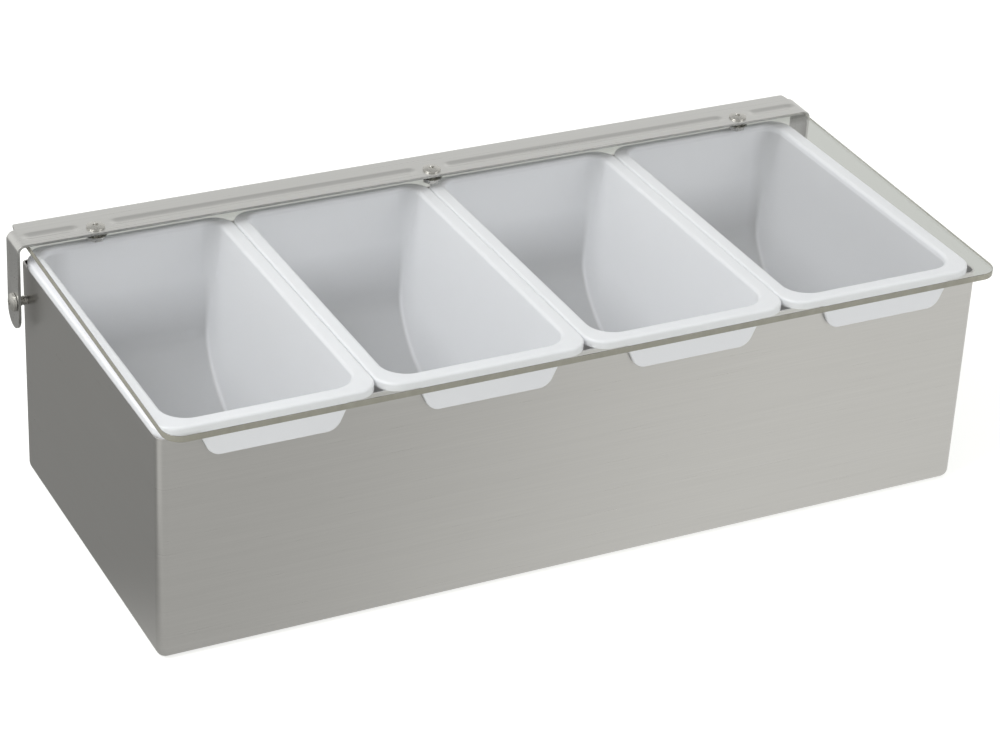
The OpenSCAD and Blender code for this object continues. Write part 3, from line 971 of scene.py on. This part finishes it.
def screw(name, s, shank, height):
    """Screw with a cross recess in its domed head, head up, with the head's underside at zero."""
    piece = turned(name, shank_profile(s, shank) + head_profile(s, height))
    for turn in (0, 90):
        floor = height - min(s.recess_depth, 0.5 * height)
        along, across = s.recess / 2, s.recess_width / 2
        bar = block("recess", (-along, -across, floor), (along, across, 2 * height))
        pick(bar, "VERT", lambda v: v.co.z < height)
        bpy.ops.transform.resize(value=RECESS_TAPER, center_override=(0, 0, floor))
        close_edit()
        move_mesh(bar, Matrix.Rotation(math.radians(turn), 4, "Z"))
        combine(piece, bar, "DIFFERENCE")
    return piece


def washer(name, s, outside, thickness):
    """Flat washer hanging below zero."""
    edge = thickness * 0.2
    rim = outside / 2
    piece = turned(name, [(rim - edge, -thickness), (rim, edge - thickness), (rim, -edge), (rim - edge, 0)])
    drill(piece, 40, s.diameter / 2 + edge / 2, depth=4 * thickness)
    return piece


def nut(name, s, flats, thickness):
    """Low hexagon nut hanging below zero, with bevelled corners."""
    piece = start_from(
        name, bpy.ops.mesh.primitive_cylinder_add, vertices=6, radius=flats / math.sqrt(3), depth=thickness,
        location=(0, 0, -thickness / 2),
    )
    move_mesh(piece, Matrix.Rotation(math.radians(30), 4, "Z"))
    add_modifier(piece, "BEVEL", width=s.nut_bevel, segments=2, limit_method="ANGLE", angle_limit=math.radians(30))
    drill(piece, 40, s.diameter / 2 + s.nut_bevel / 10, depth=4 * thickness)
    return piece


def thickness_of(node, axis):
    """How thick a CAD node is along an axis."""
    low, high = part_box(node)
    return high[axis] - low[axis]


def make_cover_screws(settings):
    """Screw, washer and nut at each of the three places along the bracket."""
    s = settings.screw
    lid = LidShape(settings)
    material = screw_steel(s)
    washer_size, washer_thickness = thickness_of("cover_washer_left", 0), s.washer_height
    nut_flats, nut_thickness = thickness_of("pivot_nut_left", 1), thickness_of("pivot_nut_left", 0)
    stack = lid.plate_top - lid.low + washer_thickness + nut_thickness
    for key, x in zip(COVER_SCREWS, lid.screws):
        pieces = (
            ("screw", screw(f"cover_bolt_{key}", s, stack + s.thread / 4, s.cover_head), lid.plate_top),
            ("washer", washer(f"cover_disc_{key}", s, washer_size, washer_thickness), lid.low),
            ("nut", nut(f"cover_hex_{key}", s, nut_flats, nut_thickness), lid.low - washer_thickness),
        )
        for kind, piece, height in pieces:
            move_mesh(piece, Matrix.Translation((x, lid.screw_y, height)))
            smooth(piece)
            lid.place(piece)
            finish_piece(piece, "cover", "screw_steel", material, f"cover_{kind}_{key}")


def make_pivot_screws(settings):
    """Screw and nut in each side wall, in the plain screw_steel that comes with the frame."""
    s = settings.screw
    pivot = LidShape(settings).pivot
    material = bpy.data.materials["screw_steel"]
    for side, key in zip(SIDES, ("left", "right")):
        for kind in ("screw", "nut"):
            node = f"pivot_{kind}_{key}"
            low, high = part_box(node)
            thickness = high.x - low.x
            outer = high.x if side > 0 else -low.x
            if kind == "screw":
                piece = screw(f"hinge_bolt_{key}", s, thickness - s.pivot_head, s.pivot_head)
                out = outer - s.pivot_head
            else:
                piece = nut(f"hinge_hex_{key}", s, high.y - low.y, thickness)
                out = outer
            stand = Matrix.Translation((side * out, pivot.y, pivot.z))
            move_mesh(piece, stand @ Matrix.Rotation(side * math.radians(90), 4, "Y"))
            smooth(piece)
            finish_piece(piece, "caddy", "screw_steel", material, node)


# ---------- Stage ----------


# Directions in which the painted light on the floor, as the steel mirrors it, grows, and the metres over which it does
# so.
BESIDE, BESIDE_SPAN = (0.6, -0.8, 0), (-0.10, 0.03)
BEFORE, BEFORE_SPAN = (0.8, 0.6, 0), (-0.18, 0.02)
# Distances from the caddy and from the middle of the painted patch of light over which the painted light changes.
FAR_SPAN, PATCH_SPAN = (0.35, 0.9), (0.04, 0.16)
# Heights over which the studio grows darker overhead, where one is straight up.
SKY_SPAN = (0.3, 0.95)


def level_along(tree, point, direction, span, low, high):
    """A level that rises smoothly along a direction."""
    along = vector_maths(tree, "DOT_PRODUCT", point, Vector(direction).normalized(), "Value")
    return ramp_between(tree, along, *span, low, high, "SMOOTHSTEP")


def away_from(tree, point, middle, span, low, high):
    """A level that changes smoothly with the distance from a point."""
    distance = vector_maths(tree, "DISTANCE", point, middle, "Value")
    return ramp_between(tree, distance, *span, low, high, "SMOOTHSTEP")


def glow(tree, kind, tint, strength):
    """A surface or sky that gives off an even light."""
    return add_node(tree, kind, Color=(*tint, 1), Strength=strength).outputs[0]


def make_floor(s):
    """Pale floor: white to the camera but for the caddy's shadow, with painted light and shade where the steel mirrors
    it, and pale and plain in clear plastic.
    """
    floor = start_from("floor", bpy.ops.mesh.primitive_plane_add, size=12)
    material, tree, shader = new_material("floor")
    feed(tree, shader, Base_Color=(*s.floor, 1), Roughness=0.8, Specular_IOR_Level=0.0)
    point = object_point(tree)
    # Painted light and shade: the floor as the steel mirrors it is darker on the left and lighter on the right and far
    # away.
    beside = level_along(tree, point, BESIDE, BESIDE_SPAN, s.painted_floor_shade, s.painted_floor_light)
    before = level_along(tree, point, BEFORE, BEFORE_SPAN, s.painted_front_shade, s.painted_floor_light)
    near = maths(tree, "MINIMUM", beside, before)
    far = away_from(tree, point, (0, 0, 0), FAR_SPAN, 0.0, s.painted_floor_light)
    # Painted pool of light on the floor beside the front left corner, seen only in the steel.
    patch = away_from(tree, point, s.patch, PATCH_SPAN, s.painted_patch_light, 0.0)
    mirrored = maths(tree, "MAXIMUM", maths(tree, "MAXIMUM", near, far), patch)
    # The painted light and shade, as an emission that only glossy rays see.
    reflected = glow(tree, "ShaderNodeEmission", (1.0, 1.0, 0.97), mirrored)
    through = glow(tree, "ShaderNodeEmission", s.backdrop, 1.0)
    added = glow(tree, "ShaderNodeEmission", (1.0, 1.0, 1.0), s.floor_glow)
    white = add_in_order(tree, "ShaderNodeAddShader", shader.outputs[0], added)["Shader"]
    surface = seen_by(tree, "Is Glossy Ray", reflected, shader.outputs[0])
    surface = seen_by(tree, "Is Transmission Ray", through, surface)
    surface = seen_by(tree, "Is Camera Ray", white, surface)
    feed(tree, tree.nodes["Material Output"], Surface=surface)
    floor.data.materials.append(material)


def make_world(s):
    """Even light all round, white to the camera and a soft pale studio in reflections."""
    world = bpy.data.worlds.new("studio")
    bpy.context.scene.world = world
    world.use_nodes = True
    tree = world.node_tree
    towards = tree.nodes.new("ShaderNodeTexCoord").outputs["Generated"]
    mirrored = level_along(tree, towards, (0, 0, 1), SKY_SPAN, s.sky_light, s.sky_dark)
    even = glow(tree, "ShaderNodeBackground", (1.0, 1.0, 1.0), s.world_level)
    reflected = glow(tree, "ShaderNodeBackground", (1.0, 1.0, 0.98), mirrored)
    white = glow(tree, "ShaderNodeBackground", (1.0, 1.0, 1.0), 1.0)
    surface = seen_by(tree, "Is Glossy Ray", reflected, even)
    surface = seen_by(tree, "Is Camera Ray", white, surface)
    feed(tree, tree.nodes["World Output"], Surface=surface)


def make_stage(settings):
    """Pale floor, even light, two soft lamps and the camera."""
    s = settings.stage
    make_floor(s)
    make_world(s)
    add_lamp("key_lamp", s.key_place, s.lamp_aim, s.key_size, s.key_power)
    add_lamp("fill_lamp", s.fill_place, s.lamp_aim, s.fill_size, s.fill_power)
    forward = (Vector(s.aim) - Vector(s.eye)).normalized()
    right = forward.cross(Vector((0, 0, 1))).normalized()
    up = right.cross(forward)
    leaning = math.cos(s.roll) * up + math.sin(s.roll) * right
    across = math.cos(s.roll) * right - math.sin(s.roll) * up
    stand = Matrix((across, leaning, -forward)).transposed().to_4x4()
    clear_selection()
    bpy.ops.object.camera_add(location=s.eye, rotation=stand.to_euler())
    camera = bpy.context.active_object
    camera.name = "camera"
    camera.data.lens = s.lens
    camera.data.sensor_width = 36
    camera.data.clip_end = 50
    bpy.context.scene.camera = camera
    bpy.context.scene.view_settings.view_transform = "Standard"


def add_lamp(name, stand, aim, size, power):
    """Square soft lamp that looks at a point."""
    clear_selection()
    look = (Vector(aim) - Vector(stand)).to_track_quat("-Z", "Y")
    bpy.ops.object.light_add(type="AREA", location=stand, rotation=look.to_euler())
    lamp = bpy.context.active_object
    lamp.name = name
    lamp.data.shape = "SQUARE"
    lamp.data.size = size
    lamp.data.energy = power


# ---------- Operators and panel ----------


class CADDY_OT_box(bpy.types.Operator):
    """Make the brushed steel box"""

    bl_idname = "caddy.box"
    bl_label = "Steel box"

    def execute(self, context):
        make_box(context.scene.caddy.box)
        return {"FINISHED"}


class CADDY_OT_pans(bpy.types.Operator):
    """Make the four scoop pans"""

    bl_idname = "caddy.pans"
    bl_label = "Scoop pans"

    def execute(self, context):
        make_pans(context.scene.caddy.pan)
        return {"FINISHED"}


class CADDY_OT_cover(bpy.types.Operator):
    """Make the clear cover"""

    bl_idname = "caddy.cover"
    bl_label = "Clear cover"

    def execute(self, context):
        make_cover(context.scene.caddy)
        return {"FINISHED"}


class CADDY_OT_bracket(bpy.types.Operator):
    """Make the hinged bracket that carries the cover"""

    bl_idname = "caddy.bracket"
    bl_label = "Hinge bracket"

    def execute(self, context):
        make_bracket(context.scene.caddy)
        return {"FINISHED"}


class CADDY_OT_cover_screws(bpy.types.Operator):
    """Make the screws, washers and nuts that clamp the cover"""

    bl_idname = "caddy.cover_screws"
    bl_label = "Cover screws"

    def execute(self, context):
        make_cover_screws(context.scene.caddy)
        return {"FINISHED"}


class CADDY_OT_pivot_screws(bpy.types.Operator):
    """Make the screws and nuts that the bracket's arms turn on"""

    bl_idname = "caddy.pivot_screws"
    bl_label = "Pivot screws"

    def execute(self, context):
        make_pivot_screws(context.scene.caddy)
        return {"FINISHED"}


class CADDY_OT_stage(bpy.types.Operator):
    """Make the floor, the light and the camera"""

    bl_idname = "caddy.stage"
    bl_label = "Stage"

    def execute(self, context):
        make_stage(context.scene.caddy)
        return {"FINISHED"}


OPERATORS = (
    CADDY_OT_box,
    CADDY_OT_pans,
    CADDY_OT_cover,
    CADDY_OT_bracket,
    CADDY_OT_cover_screws,
    CADDY_OT_pivot_screws,
    CADDY_OT_stage,
)
GROUPS = (BoxSettings, PanSettings, CoverSettings, BracketSettings, ScrewSettings, StageSettings, CaddySettings)


class CADDY_PT_panel(bpy.types.Panel):
    """Lists the caddy's operators in the sidebar"""

    bl_idname = "CADDY_PT_panel"
    bl_label = "Caddy"
    bl_space_type = "VIEW_3D"
    bl_region_type = "UI"
    bl_category = "Caddy"

    def draw(self, context):
        for operator in OPERATORS:
            self.layout.operator(operator.bl_idname)


CLASSES = GROUPS + OPERATORS + (CADDY_PT_panel,)


def register():
    for item in CLASSES:
        bpy.utils.register_class(item)
    bpy.types.Scene.caddy = PointerProperty(type=CaddySettings)


def unregister():
    del bpy.types.Scene.caddy
    for item in reversed(CLASSES):
        bpy.utils.unregister_class(item)


def main():
    register()
    bpy.ops.caddy.box()
    bpy.ops.caddy.pans()
    bpy.ops.caddy.cover()
    bpy.ops.caddy.bracket()
    bpy.ops.caddy.cover_screws()
    bpy.ops.caddy.pivot_screws()
    bpy.ops.caddy.stage()
    clear_selection()


if __name__ == "__main__":
    main()
